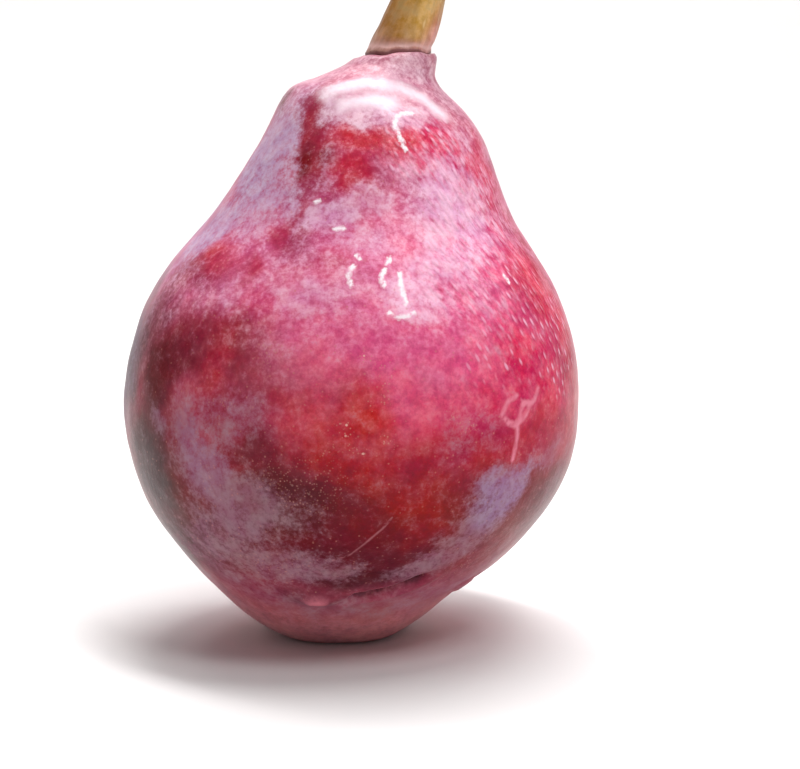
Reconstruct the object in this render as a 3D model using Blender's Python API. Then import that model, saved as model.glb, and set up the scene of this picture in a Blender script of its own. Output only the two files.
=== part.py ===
"""A ripe red pear standing on its calyx end: the fruit, its stem, and the dry flower remains underneath.

Everything is lofted from rings of points. The fruit is a stack of level rings, so its foot is truly flat.
Lengths are written in millimetres and turned to metres by MM. +X is the side that the neck leans to,
+Z runs up the core towards the stem, and the origin is in the middle of the fruit's width, at its foot.
"""

import math

import bmesh
import bpy
from mathutils import Vector

MM = 0.001

# Driving dimensions, in millimetres.
FRUIT_WIDTH = 73.0
FRUIT_HEIGHT = 92.4
FOOT_INNER_RADIUS = 6.4
FOOT_OUTER_RADIUS = 8.7
BASIN_DEPTH = 4.4
STEM_FOOT_RADIUS = 6.2
GAP = 0.3

# How finely each kind of piece is divided.
FRUIT_SIDES = 40
STEM_SIDES = 20
SEPAL_SIDES = 8
THREAD_SIDES = 6
RINGS_PER_SPAN = 2

SEPAL_COUNT = 5
STAMEN_COUNT = 10
STYLE_COUNT = 5

WIDEST = FRUIT_WIDTH / 2

# The foot's middle lies to -X of the widest ring's: a pear's core is seldom plumb when it stands.
FOOT_LEAN = -2.4

# Stations of the hollow under the fruit, from its middle to the foot: (height, radius).
BASIN = [
    (BASIN_DEPTH, 2.4),
    (0.89 * BASIN_DEPTH, 3.8),
    (0.55 * BASIN_DEPTH, 5.0),
    (0.20 * BASIN_DEPTH, 5.8),
    (0.03 * BASIN_DEPTH, 6.2),
    (0.0, FOOT_INNER_RADIUS),
]

# Stations of the outside, from the foot up to the collar under the stem: (height, radius, lean towards +X).
OUTSIDE = [
    (0.0, FOOT_OUTER_RADIUS, FOOT_LEAN),
    (0.5, 10.2, FOOT_LEAN),
    (1.8, 12.6, -2.6),
    (4.2, 16.1, -2.6),
    (8.0, 20.4, -2.4),
    (14.0, 26.8, -1.4),
    (22.0, 32.7, -0.5),
    (30.0, 35.7, 0.0),
    (37.0, WIDEST, 0.0),
    (46.0, 35.6, 0.1),
    (54.0, 33.1, 0.1),
    (61.0, 28.8, 0.6),
    (67.0, 24.3, 1.3),
    (74.0, 20.7, 2.4),
    (80.0, 17.6, 3.1),
    (84.0, 15.0, 2.5),
    (86.6, 12.7, 1.8),
    (88.2, 11.2, 2.2),
    (89.6, 9.1, 4.2),
    (91.0, 7.3, 6.0),
    (FRUIT_HEIGHT, 6.3, 7.1),
]

# The stem's spine and half thickness, from its foot to the scar at its free end: (x, y, z, radius).
STEM_FOOT = FRUIT_HEIGHT + GAP
STEM = [
    (7.2, 0.0, STEM_FOOT, STEM_FOOT_RADIUS),
    (7.7, 0.0, STEM_FOOT + 1.2, 5.7),
    (8.8, 0.1, STEM_FOOT + 3.6, 5.1),
    (10.2, 0.2, STEM_FOOT + 7.2, 4.3),
    (11.6, 0.2, STEM_FOOT + 11.0, 3.6),
    (13.1, 0.0, STEM_FOOT + 15.0, 3.0),
    (14.4, -0.4, STEM_FOOT + 19.0, 2.7),
    (15.4, -0.9, STEM_FOOT + 22.2, 2.8),
    (16.1, -1.3, STEM_FOOT + 24.4, 3.2),
    (16.5, -1.5, STEM_FOOT + 25.6, 3.0),
]

STEM_TURN = 8.0

# One dry sepal's spine, from its root in the basin to its tip: (distance from the middle, height, half width).
SEPAL = [
    (2.05, 3.75, 0.85),
    (3.00, 3.30, 1.15),
    (3.90, 2.50, 0.95),
    (4.50, 1.60, 0.55),
    (4.75, 0.90, 0.12),
]
SEPAL_HALF_THICKNESS = 0.22

STAMEN_RING = 1.20
STYLE_RING = 0.42
THREAD_TOP = BASIN_DEPTH - GAP
STAMEN_LENGTH = 2.0
STYLE_LENGTH = 1.4
STAMEN_RADIUS = 0.16
STYLE_RADIUS = 0.13
ANTHER_SWELL = 1.35

# Soft lobes around the calyx end, and a slight narrowing front to back, as shares of the radius.
LOBE_COUNT = 5
LOBE_DEPTH = 0.022
LOBE_REACH = 26.0
LOBE_TURN = math.radians(20)
OVAL_DEPTH = 0.012


def clear_scene():
    for old in list(bpy.data.objects):
        bpy.data.objects.remove(old, do_unlink=True)


def skin(name, colour, roughness):
    """A plain Principled material; colour is linear RGB."""
    made = bpy.data.materials.new(name)
    made.use_nodes = True
    shader = made.node_tree.nodes["Principled BSDF"]
    shader.inputs["Base Color"].default_value = (*colour, 1.0)
    shader.inputs["Roughness"].default_value = roughness
    shader.inputs["Metallic"].default_value = 0.0
    return made


def smooth_through(stations, steps):
    """Points on a smooth curve through the stations, with steps points from each station to the next."""
    known = [Vector(station) for station in stations]
    ends = [2 * known[0] - known[1]] + known + [2 * known[-1] - known[-2]]
    curve = []
    for before, start, end, after in zip(ends, ends[1:], ends[2:], ends[3:]):
        for step in range(steps):
            t = step / steps
            leave = (end - before) / 2
            arrive = (after - start) / 2
            curve.append(
                (2 * t**3 - 3 * t**2 + 1) * start
                + (t**3 - 2 * t**2 + t) * leave
                + (3 * t**2 - 2 * t**3) * end
                + (t**3 - t**2) * arrive
            )
    curve.append(known[-1])
    return curve


def loft_into(mesh, rings):
    """Adds one closed body: quads from ring to ring, and a fan of triangles over each end."""
    loops = [[mesh.verts.new(point * MM) for point in ring] for ring in rings]
    sides = len(loops[0])
    for lower, upper in zip(loops, loops[1:]):
        for i in range(sides):
            j = (i + 1) % sides
            mesh.faces.new((lower[i], lower[j], upper[j], upper[i]))
    for loop in (loops[0], loops[-1]):
        middle = sum((corner.co for corner in loop), Vector()) / sides
        tip = mesh.verts.new(middle)
        for i in range(sides):
            mesh.faces.new((loop[i], loop[(i + 1) % sides], tip))


def finished(name, mesh, material):
    """Turns a bmesh into a smooth-shaded object of that name."""
    bmesh.ops.recalc_face_normals(mesh, faces=mesh.faces)
    data = bpy.data.meshes.new(name)
    mesh.to_mesh(data)
    mesh.free()
    data.shade_smooth()
    data.set_sharp_from_angle(angle=math.radians(50))
    data.materials.append(material)
    made = bpy.data.objects.new(name, data)
    bpy.context.scene.collection.objects.link(made)
    return made


def lobed(radius, height, angle):
    """The fruit's radius in one direction: the lobes fade out upwards, and it is a little narrower along Y."""
    fade = max(0.0, 1.0 - height / LOBE_REACH) ** 2
    lobes = LOBE_DEPTH * fade * math.cos(LOBE_COUNT * (angle - LOBE_TURN))
    narrowing = OVAL_DEPTH * math.sin(angle) ** 2
    return radius * (1.0 + lobes - narrowing)


def level_ring(height, radius, lean):
    ring = []
    for i in range(FRUIT_SIDES):
        angle = 2 * math.pi * i / FRUIT_SIDES
        reach = lobed(radius, height, angle)
        ring.append(Vector((lean + reach * math.cos(angle), reach * math.sin(angle), height)))
    return ring


def fruit_rings():
    """Level rings from the middle of the basin, round the foot, and up to the collar."""
    basin = smooth_through([(height, radius, FOOT_LEAN) for height, radius in BASIN], RINGS_PER_SPAN)
    outside = smooth_through(OUTSIDE, RINGS_PER_SPAN)
    basin_middle = (BASIN_DEPTH, 0.5 * BASIN[0][1], FOOT_LEAN)
    top_height, top_radius, top_lean = OUTSIDE[-1]
    collar_middle = (top_height, 0.5 * top_radius, top_lean)
    stations = [basin_middle, *basin, *outside, collar_middle]
    return [level_ring(max(0.0, height), radius, lean) for height, radius, lean in stations]


def centred(rings):
    """Moves the rings sideways so that the fruit's box is centred on the origin."""
    points = [point for ring in rings for point in ring]
    shift_x = (min(p.x for p in points) + max(p.x for p in points)) / 2
    shift_y = (min(p.y for p in points) + max(p.y for p in points)) / 2
    shift = Vector((shift_x, shift_y, 0.0))
    return [[point - shift for point in ring] for ring in rings], shift


def make_fruit():
    rings, shift = centred(fruit_rings())
    mesh = bmesh.new()
    loft_into(mesh, rings)
    finished("fruit", mesh, skin("red_skin", (0.36, 0.02, 0.05), 0.35))
    return shift


def rings_along(spine, half_widths, half_depths, wide, sides):
    """Oval rings square to a spine. wide is the direction that the half widths are measured in."""
    rings = []
    for i, centre in enumerate(spine):
        before = spine[max(0, i - 1)]
        after = spine[min(len(spine) - 1, i + 1)]
        along = (after - before).normalized()
        across = (wide - along * wide.dot(along)).normalized()
        deep = along.cross(across)
        ring = []
        for k in range(sides):
            angle = 2 * math.pi * k / sides
            out = across * math.cos(angle) * half_widths[i] + deep * math.sin(angle) * half_depths[i]
            ring.append(centre + out)
        rings.append(ring)
    return rings


def make_stem(shift):
    """The stem's rings are level at its foot, and turn square to its spine by STEM_TURN above it."""
    curve = smooth_through(STEM, RINGS_PER_SPAN)
    spine = [Vector(point[:3]) - shift for point in curve]
    radii = [point[3] for point in curve]
    rings = rings_along(spine, radii, radii, Vector((0, 1, 0)), STEM_SIDES)
    for centre, ring in zip(spine, rings):
        turned = min(1.0, (centre.z - STEM_FOOT) / STEM_TURN)
        for point in ring:
            point.z = centre.z + turned * (point.z - centre.z)
    mesh = bmesh.new()
    loft_into(mesh, rings)
    finished("stem", mesh, skin("woody_stem", (0.30, 0.17, 0.04), 0.6))


def make_sepals(shift):
    """Five dry sepals spread as a star in the basin, clear of its wall."""
    dry = skin("dry_calyx", (0.06, 0.035, 0.02), 0.85)
    middle = Vector((FOOT_LEAN, 0, 0)) - shift
    for number in range(SEPAL_COUNT):
        angle = 2 * math.pi * (number + 0.5) / SEPAL_COUNT
        out = Vector((math.cos(angle), math.sin(angle), 0))
        sideways = Vector((-math.sin(angle), math.cos(angle), 0))
        curve = smooth_through(SEPAL, RINGS_PER_SPAN)
        spine = [middle + out * reach + Vector((0, 0, height)) for reach, height, _ in curve]
        widths = [half for _, _, half in curve]
        depths = [min(SEPAL_HALF_THICKNESS, half) for half in widths]
        mesh = bmesh.new()
        loft_into(mesh, rings_along(spine, widths, depths, sideways, SEPAL_SIDES))
        finished(f"sepal_{number + 1}", mesh, dry)
    return dry


def make_threads(name, count, ring, length, radius, swell, splay, shift, material):
    """A ring of fine threads, each its own object, hanging from the basin's middle with swollen ends."""
    middle = Vector((FOOT_LEAN, 0, 0)) - shift
    for number in range(count):
        angle = 2 * math.pi * number / count
        out = Vector((math.cos(angle), math.sin(angle), 0))
        root = middle + out * ring + Vector((0, 0, THREAD_TOP))
        cut_short = length * (1.0 - 0.12 * (number % 3))
        tip = middle + out * (ring + splay * (number % 2)) + Vector((0, 0, THREAD_TOP - cut_short))
        spine = [root.lerp(tip, share) for share in (0.0, 0.7, 0.85, 1.0)]
        radii = [radius, radius, radius * swell, radius * 0.6]
        mesh = bmesh.new()
        loft_into(mesh, rings_along(spine, radii, radii, Vector((0.3, 1, 0)), THREAD_SIDES))
        finished(f"{name}_{number + 1}", mesh, material)


def main():
    clear_scene()
    shift = make_fruit()
    make_stem(shift)
    dry = make_sepals(shift)
    make_threads("stamen", STAMEN_COUNT, STAMEN_RING, STAMEN_LENGTH, STAMEN_RADIUS, ANTHER_SWELL, 0.15, shift, dry)
    make_threads("style", STYLE_COUNT, STYLE_RING, STYLE_LENGTH, STYLE_RADIUS, 1.0, 0.0, shift, dry)


main()
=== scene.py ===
# %% [markdown]
# # A ripe red pear
#
# This lesson takes a plain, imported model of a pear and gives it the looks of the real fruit: the tight skin
# with its powdery bloom, the woody stem, and the dry remains of the flower in the basin underneath. The
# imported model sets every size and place. The pieces made here stand where it says, and replace its plain
# solids.

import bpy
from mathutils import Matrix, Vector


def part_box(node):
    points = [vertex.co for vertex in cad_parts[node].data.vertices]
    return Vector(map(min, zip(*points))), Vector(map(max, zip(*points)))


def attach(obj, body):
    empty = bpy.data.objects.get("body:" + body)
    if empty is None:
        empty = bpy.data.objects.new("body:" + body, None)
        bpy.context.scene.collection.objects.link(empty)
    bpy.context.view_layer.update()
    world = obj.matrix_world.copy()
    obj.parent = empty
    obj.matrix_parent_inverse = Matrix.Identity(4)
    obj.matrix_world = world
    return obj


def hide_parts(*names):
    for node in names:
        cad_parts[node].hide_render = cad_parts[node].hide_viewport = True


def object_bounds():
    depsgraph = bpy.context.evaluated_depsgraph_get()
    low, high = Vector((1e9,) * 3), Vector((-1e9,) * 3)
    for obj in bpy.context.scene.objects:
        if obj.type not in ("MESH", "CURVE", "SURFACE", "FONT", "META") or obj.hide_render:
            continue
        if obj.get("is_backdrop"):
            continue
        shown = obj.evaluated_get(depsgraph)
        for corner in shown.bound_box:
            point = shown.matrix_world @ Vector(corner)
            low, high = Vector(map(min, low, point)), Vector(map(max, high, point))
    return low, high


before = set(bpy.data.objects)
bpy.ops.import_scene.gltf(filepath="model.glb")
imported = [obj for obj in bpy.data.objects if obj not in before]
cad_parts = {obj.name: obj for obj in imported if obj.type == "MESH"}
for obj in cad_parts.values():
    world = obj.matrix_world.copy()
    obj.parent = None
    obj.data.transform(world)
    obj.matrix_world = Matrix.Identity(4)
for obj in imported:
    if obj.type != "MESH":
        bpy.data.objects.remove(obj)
print("packed nodes:", len(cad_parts))

# %% What the lesson needs
import math

import bmesh
import bpy
import numpy as np
from mathutils import Vector, noise

MM = 0.001
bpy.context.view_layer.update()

# %% [markdown]
# ## Reading the fruit's shape back
#
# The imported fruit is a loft: rings of corners, each joined to the next. Its facets are far too coarse to
# look like skin. Subdividing them would do, but it rounds off the foot and pulls the shape in. So the rings
# are read back instead, and a fine mesh is laid through them. A ring is found from its neighbour: starting
# at the top ring, the next ring is every corner that an edge joins to it and that hasn't been met yet.

# %% Rings of a lofted solid
def rings_of(node, start_height, sides):
    """The rings of a packed loft, in millimetres, from the level ring at start_height to the far end."""
    mesh = bmesh.new()
    mesh.from_mesh(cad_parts[node].data)
    bmesh.ops.remove_doubles(mesh, verts=mesh.verts, dist=0.01 * MM)
    ring = {corner for corner in mesh.verts if abs(corner.co.z - start_height) < 0.01 * MM}
    met = set()
    rings = []
    while ring:
        points = np.array([corner.co for corner in ring]) / MM
        offset = points - points.mean(axis=0)
        half_step = math.pi / sides
        angle = (np.arctan2(offset[:, 1], offset[:, 0]) + half_step) % (2 * math.pi)
        rings.append(points[np.argsort(angle)])
        met |= ring
        ring = {edge.other_vert(corner) for corner in ring for edge in corner.link_edges} - met
    mesh.free()
    return np.array(rings)


FRUIT_SIDES = 40
fruit_rings = rings_of("fruit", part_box("fruit")[1].z, FRUIT_SIDES)[::-1]
print("the fruit's rings and sides:", fruit_rings.shape[:2])

# %% [markdown]
# ## A fine mesh through the rings
#
# Round each ring the shape is a smooth wave, so a Fourier series passes through its corners with no flats.
# Along the fruit, a cubic curve joins ring to ring, at even steps of about two thirds of a millimetre. That
# is fine enough for creases and knobs to be real shape, and the bump map is left with the pores only.

# %% Resample the rings
def around(rings, columns):
    """More points on each ring, from the Fourier series through those it has."""
    waves = np.fft.rfft(rings, axis=1)
    return np.fft.irfft(waves, n=columns, axis=1) * columns / rings.shape[1]


def along(rings, step):
    """More rings, at even steps along the surface, on cubic curves through those there are."""
    gaps = np.linalg.norm(np.diff(rings, axis=0), axis=2).mean(axis=1)
    marks = np.concatenate([[0.0], np.cumsum(gaps)])
    wanted = np.linspace(0.0, marks[-1], int(marks[-1] / step) + 1)
    slopes = np.gradient(rings, marks, axis=0)
    left = np.clip(np.searchsorted(marks, wanted, side="right") - 1, 0, len(marks) - 2)
    span = (marks[left + 1] - marks[left])[:, None, None]
    t = (wanted - marks[left])[:, None, None] / span
    start = (2 * t**3 - 3 * t**2 + 1) * rings[left] + (t**3 - 2 * t**2 + t) * span * slopes[left]
    end = (3 * t**2 - 2 * t**3) * rings[left + 1] + (t**3 - t**2) * span * slopes[left + 1]
    return start + end


SKIN_STEP = 0.64
SKIN_COLUMNS = 380
skin = around(along(fruit_rings, SKIN_STEP), SKIN_COLUMNS)
skin[:, :, 2] = np.maximum(skin[:, :, 2], 0.0)
print("rows and columns of the skin:", skin.shape[:2])

# %% Ease the rows, but keep the foot flat and the collar crisp
EASING_PASSES = 8
FOOT_HEIGHT = 3.0
FOOT_RADIUS = 9.0
COLLAR_HEIGHT = 3.0
height = skin[:, :, 2]
reach = np.hypot(skin[:, :, 0] - skin[:1, :, 0].mean(), skin[:, :, 1] - skin[:1, :, 1].mean())
eased = skin.copy()
for _ in range(EASING_PASSES):
    eased[1:-1] = 0.25 * eased[:-2] + 0.5 * eased[1:-1] + 0.25 * eased[2:]
top = height.max()
share = np.clip((height - FOOT_HEIGHT) / 4.0, 0, 1) * np.clip((top - COLLAR_HEIGHT - height) / 4.0, 0, 1)
share[reach < FOOT_RADIUS] = 0.0
easing = share[:, :, None] * (eased - skin)
skin = skin + easing
print("easing moves the skin by up to", round(float(np.abs(easing).max()), 2), "mm")

# %% Which way each point faces
def normals_of(rows):
    """The outward normal at each point of a grid of rows that closes on itself sideways."""
    sideways = np.roll(rows, -1, axis=1) - np.roll(rows, 1, axis=1)
    onwards = np.gradient(rows, axis=0)
    facing = np.cross(sideways, onwards)
    return facing / np.linalg.norm(facing, axis=2, keepdims=True).clip(1e-9)


facing = normals_of(skin)
height = skin[:, :, 2].copy()
turn = np.degrees(np.arctan2(skin[:, :, 0], -skin[:, :, 1]))
outside = np.ones(height.shape, dtype=bool)
outside[: int(np.argmin(height[:, 0])) + 1] = False
print("heights, in mm:", round(height.min(), 2), "to", round(height.max(), 2))

# %% [markdown]
# ## Painting the skin
#
# Blush, shade and bloom are not spread evenly. Blush and bloom come from how sun, leaves and rain met the
# fruit as it hung. Part of the dark of the left side and the belly, and the dark at the left edge, is painted
# shade, and the pink of the foot is painted light thrown up from below. They are laid on like washes of
# paint, from the widest to the smallest. A wash is one colour in one or more soft ovals. An oval's place is
# its turn, in degrees to the right of the front, and its height. Its size is in millimetres across the skin.
# Real edges are ragged, so each oval is measured in a space that has been bent by noise: hills and hollows of
# 7 mm and
# 2.4 mm move its edge in and out. Noise starts from a fixed number, or the patches would come out different
# each time. The paint is kept on the mesh's corners, 0.6 mm apart, and the material adds everything finer.

# %% Colours, and smooth random hills
def linear(hex_colour):
    """An sRGB hex colour as linear RGB with alpha."""
    parts = [int(hex_colour[i : i + 2], 16) / 255 for i in (1, 3, 5)]
    return (*[p / 12.92 if p <= 0.04045 else ((p + 0.055) / 1.055) ** 2.4 for p in parts], 1.0)


def rolling(size, seed):
    """Smooth, random hills and hollows of about that size in millimetres, as one vector for each point."""
    shift = Vector((seed * 7.3, seed * 3.1, seed * 5.7))
    flat = skin.reshape(-1, 3) / size
    return np.array([noise.noise_vector(Vector(point) + shift) for point in flat]).reshape(skin.shape)


NOISE_START = 3
noise.seed_set(NOISE_START)
bent = skin + 2.4 * rolling(7.0, 5) + 1.2 * rolling(2.4, 6)
print("the noise moves a wash's edge by up to", round(float(np.abs(bent - skin).max()), 1), "mm")

# %% Places and washes
def spot(at_turn, at_height):
    """The row and column of the skin's point at that turn and height."""
    sideways = (turn - at_turn + 180) % 360 - 180
    miss = (0.5 * sideways) ** 2 + (height - at_height) ** 2
    miss[~outside] = np.inf
    return np.unravel_index(np.argmin(miss), miss.shape)


def patch(at_turn, at_height, half_width, half_height, tilt, strength):
    """A soft, ragged oval of that strength, which falls to half on its edge. A tilt lifts its right side."""
    row, column = spot(at_turn, at_height)
    out = facing[row, column]
    right = np.cross([0, 0, 1], out)
    right /= np.linalg.norm(right)
    up = np.cross(out, right)
    lean = math.radians(tilt)
    long_way = right * math.cos(lean) + up * math.sin(lean)
    short_way = up * math.cos(lean) - right * math.sin(lean)
    offset = bent - skin[row, column]
    oval = np.hypot(offset @ long_way / half_width, offset @ short_way / half_height)
    seen = np.clip(facing @ out / 0.3, 0, 1)
    inside = np.clip((1.6 - oval) / 1.2, 0, 1)
    return strength * inside * inside * (3 - 2 * inside) * seen


def patches(places):
    """All the patches of one kind, each covering what is fainter under it."""
    return np.max([patch(*place) for place in places], axis=0)


def by_height(heights, stops):
    """A ground colour that changes smoothly with height."""
    channels = np.array([linear(colour)[:3] for _, colour in stops]).T
    return np.stack([np.interp(heights, [at for at, _ in stops], channel) for channel in channels], axis=2)


def covered(paint, colour, share):
    """The paint with one more colour over it, as a share from 0 to 1 at each point."""
    return paint + share[:, :, None] * (np.array(linear(colour)[:3]) - paint)


def wash(paint, colour, places):
    """The paint with one more colour in each of the places."""
    return covered(paint, colour, patches(places))


print("the front of the belly, as a row and a column:", tuple(map(int, spot(0, 30))))

# %% Pigment and painted shading: the ground, from the pink foot through the dark belly to the rosy neck
# The pink of the foot is painted light thrown up from below, and the dark of the belly is partly painted
# shade.
pigment_and_shading = by_height(height, [
    (0, "#dc949a"), (6, "#cc7880"), (10, "#b05064"), (15, "#88283a"), (21, "#760e1c"), (28, "#820c1a"),
    (34, "#a82234"), (40, "#c8485c"), (48, "#dc6682"), (58, "#d06486"), (68, "#c65a7e"), (76, "#ba4c68"),
    (83, "#be5c78"), (88, "#c4708a"), (91, "#bc7084"), (94, "#a8626c"),
])
print("the ground's mean colour, linear:", pigment_and_shading.mean(axis=(0, 1)).round(3))

# %% Pigment: the sunny side, rose above and crimson below
pigment_and_shading = wash(pigment_and_shading, "#e85e88", [
    (20, 52, 14, 8, 0, 0.9), (38, 51, 10, 9, 0, 0.8), (32, 64, 14, 9, 0, 0.85), (45, 74, 8, 9, 0, 0.7),
    (22, 43, 8, 5, 0, 0.5), (-6, 52, 8, 4, 10, 0.5), (118, 58, 15, 13, 0, 0.8), (165, 68, 9, 10, 0, 0.6),
])
pigment_and_shading = wash(pigment_and_shading, "#d4365a", [
    (54, 45, 10, 9, 0, 0.9), (66, 55, 7, 9, 0, 0.9), (38, 40, 9, 5, 0, 0.6), (40, 80, 9, 3.5, 0, 0.75),
    (62, 74, 6, 8, 0, 0.8), (-24, 56, 6, 3, 0, 0.4), (100, 44, 12, 10, 0, 0.8), (140, 40, 9, 8, 20, 0.7),
])
pigment_and_shading = wash(pigment_and_shading, "#ac1838", [
    (56, 35, 13, 4, 0, 0.85), (74, 42, 6, 9, 0, 0.8), (26, 35, 6, 3, 0, 0.7), (78, 62, 4, 9, 0, 0.8),
    (110, 34, 14, 5, 0, 0.7), (190, 47, 12, 9, 0, 0.7),
])
print("with the sunny side:", pigment_and_shading.mean(axis=(0, 1)).round(3))

# %% Pigment: the shaded side, brick red to maroon and partly painted shade, with a grey-green cheek
pigment_and_shading = wash(pigment_and_shading, "#962a38", [
    (-40, 50, 11, 6, 0, 0.9), (-20.5, 79, 3.2, 10, 6, 0.85), (-18, 66, 2.6, 6, 10, 0.6),
    (-52, 60, 7, 4, 0, 0.75), (-28, 42, 8, 5, 0, 0.5), (-110, 54, 14, 10, 0, 0.7),
    (215, 38, 12, 10, 0, 0.8),
])
pigment_and_shading = wash(pigment_and_shading, "#6a1c24", [
    (-54, 46, 6, 7, 0, 0.95), (-62, 52, 5, 7, 0, 0.7), (-23, 77, 1.5, 3.0, 0, 0.75),
    (-12, 77, 2.0, 1.6, 0, 0.4), (-75, 86, 4, 3, 0, 0.8), (-110, 36, 14, 10, 0, 0.9),
    (240, 24, 10, 8, 0, 0.7),
])
# The darkest maroon, low on the belly and just above the crease, is partly painted shade.
pigment_and_shading = wash(pigment_and_shading, "#5a0814", [
    (-14, 27.5, 8.5, 7.5, 0, 0.95), (-24, 35, 5, 3.0, 0, 0.7), (-16, 33, 5, 3, 0, 0.6),
    (0, 18, 12, 3.5, 0, 0.7), (-36, 20, 8, 5, 0, 0.6), (20, 22, 7, 4, 0, 0.5), (66, 24, 8, 6, 0, 0.6),
    (150, 22, 16, 7, 0, 0.8), (195, 27, 10, 7, 0, 0.7),
])
# Near black towards the left edge: painted shade.
pigment_and_shading = wash(pigment_and_shading, "#3a0e0c", [
    (-60, 30, 8, 11, 0, 0.95), (-64, 18, 10, 6, 0, 0.8), (-72, 44, 5, 9, 0, 0.8),
    (-95, 24, 10, 8, 0, 0.7),
])
pigment_and_shading = wash(pigment_and_shading, "#843848", [(-13, 11.0, 6, 2.6, 0, 0.8), (10, 13.2, 9, 1.6, 8, 0.8)])
# Painted shade under the swelling that overhangs the crease.
pigment_and_shading = wash(pigment_and_shading, "#500c1a", [(6, 14.6, 8, 2.2, 6, 0.85), (20, 15.6, 5, 1.8, 12, 0.7)])
# The grey-green cheek at the left edge: painted reflection of a dim surround, over painted shade.
pigment_and_shading = wash(pigment_and_shading, "#5c504c", [
    (-82, 44, 5.5, 11, 0, 0.8), (-80, 56, 4, 6, 0, 0.5), (-118, 44, 6, 7, 0, 0.4),
])
pigment_and_shading = wash(pigment_and_shading, "#a04450", [(-26, 46, 9, 6, 0, 0.5), (-105, 46, 8, 6, 0, 0.4)])
print("with the shaded side:", pigment_and_shading.mean(axis=(0, 1)).round(3))

# %% Pigment: scarlet and orange-red, where the blush is thin
pigment_and_shading = wash(pigment_and_shading, "#bc302e", [
    (3, 41.5, 5.0, 5.0, 0, 0.75), (-1, 37.5, 4.5, 4.0, 30, 0.5), (6, 33, 3.5, 4, 0, 0.35),
    (-12, 43, 4, 2, 0, 0.35),
])
pigment_and_shading = wash(pigment_and_shading, "#9c0e18", [(18, 29, 3.8, 6.0, 0, 0.8), (20, 23, 5.0, 3.0, 0, 0.6)])
pigment_and_shading = wash(pigment_and_shading, "#c03444", [
    (6, 80.2, 5.0, 2.4, 0, 0.9), (3, 74.5, 3.4, 3.2, 0, 0.9), (22, 80, 4, 2, 0, 0.6),
    (-45, 62, 4.4, 3.0, 0, 0.7), (-35, 47, 2.4, 4.4, 0, 0.7), (60, 57, 4, 5, 0, 0.5),
    (130, 47, 8, 6, 0, 0.7), (182, 42, 5, 8, 15, 0.6), (-125, 62, 6, 6, 0, 0.7),
])
pigment_and_shading = wash(pigment_and_shading, "#b0344e", [
    (-24, 65.5, 1.6, 2.6, 20, 0.9), (-31, 61, 1.6, 1.8, 0, 0.8), (-6, 62, 3, 1.6, 0, 0.5),
])
BASIN_REACH = 9.6
in_basin = np.clip((BASIN_REACH - reach) / 3, 0, 1) * (height < 7)
pigment_and_shading = covered(pigment_and_shading, "#94644c", 0.7 * in_basin)
print("with the thin blush, and russet in the basin:", pigment_and_shading.mean(axis=(0, 1)).round(3))

# %% Bloom: its colour, lilac in the shade and pink in the light, partly as painted shade and painted light
# Near white at 86 mm, along the shoulder, is partly painted highlight.
bloom_tone_and_shading = by_height(height, [
    (0, "#bc8892"), (12, "#a87886"), (25, "#9c7080"), (38, "#9c7284"), (47, "#c4809a"), (56, "#e09cba"),
    (66, "#dca4c4"), (76, "#dca4c2"), (86, "#f0d0de"), (94, "#e4bcc8"),
])
bloom_tone_and_shading = wash(bloom_tone_and_shading, "#b8a6c4", [
    (-52, 76, 11, 12, 0, 0.95), (-64, 64, 7, 6, 30, 0.9), (-90, 64, 8, 14, 0, 0.9),
    (215, 62, 14, 9, 0, 0.8),
])
# Grey at the left edge: painted reflection and painted shade.
bloom_tone_and_shading = wash(bloom_tone_and_shading, "#9c94a0", [(-80, 46, 8, 12, 0, 0.9)])
bloom_tone_and_shading = wash(bloom_tone_and_shading, "#f6c6e2", [
    (40, 68, 12, 11, 0, 0.95), (22, 57, 6, 4, 0, 0.8), (30, 80, 8, 4, 0, 0.5), (120, 68, 12, 10, 0, 0.8),
])
bloom_tone_and_shading = wash(bloom_tone_and_shading, "#a48cb0", [(43, 27, 7, 4, 40, 0.95), (-36, 33, 4, 8, 10, 0.35)])
print("the bloom's mean colour, linear:", bloom_tone_and_shading.mean(axis=(0, 1)).round(3))

# %% Bloom: where the powder lies thick on the upper half, with painted sheen across the shoulder
bloom = patches([
    (-52, 78, 7.5, 9.0, -15, 1.0), (-42, 72, 5.0, 5.0, 0, 0.9), (-35, 82, 2.6, 6.0, 0, 0.8),
    (-62, 66, 8.0, 4.0, 35, 0.95), (-40, 66, 5.0, 4.0, 0, 0.65), (-70, 60, 3.0, 5.0, 0, 0.8),
    (-28, 71, 3.0, 4.0, 0, 0.7), (-8, 69, 5.0, 2.6, 10, 0.9), (7, 70, 4.0, 3.0, 0, 0.8),
    (2, 65, 6.0, 2.4, -10, 0.7), (-14, 57, 5.5, 3.6, -15, 0.85), (-35, 58, 3.0, 3.5, 0, 0.6),
    (-4, 56, 4, 3, 0, 0.6), (40, 70, 9.0, 8.0, 15, 1.0), (30, 62, 9.0, 5.0, 0, 0.9),
    (54, 66, 6.0, 9.0, 0, 0.65), (18, 57, 7.0, 4.0, 0, 0.85), (40, 56, 8.0, 4.0, 0, 0.5),
    # These three patches across the front of the shoulder are partly painted highlight.
    (10, 84.5, 10.0, 2.6, 0, 0.9), (38, 84, 6.0, 3.0, 0, 0.85), (-8, 83, 3, 2.5, 0, 0.7),
    (62, 90.0, 6.0, 3.0, 0, 0.7), (14, 90.6, 3, 1.4, 0, 0.55), (60, 82, 4, 5, 0, 0.6),
    (118, 68, 10.0, 9.0, 10, 0.95), (165, 76, 8.0, 7.0, -20, 0.9), (205, 62, 12.0, 7.0, 15, 0.9),
    (-105, 52, 6.0, 12.0, 10, 0.8), (-92, 66, 6.0, 8.0, 0, 0.9),
])
bloom = np.maximum(bloom, np.interp(height, [40, 50, 60, 84, 88, 92], [0.0, 0.28, 0.46, 0.36, 0.36, 0.24]))
print("the bloom's thickness runs from", round(float(bloom.min()), 2), "to", round(float(bloom.max()), 2))

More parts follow.
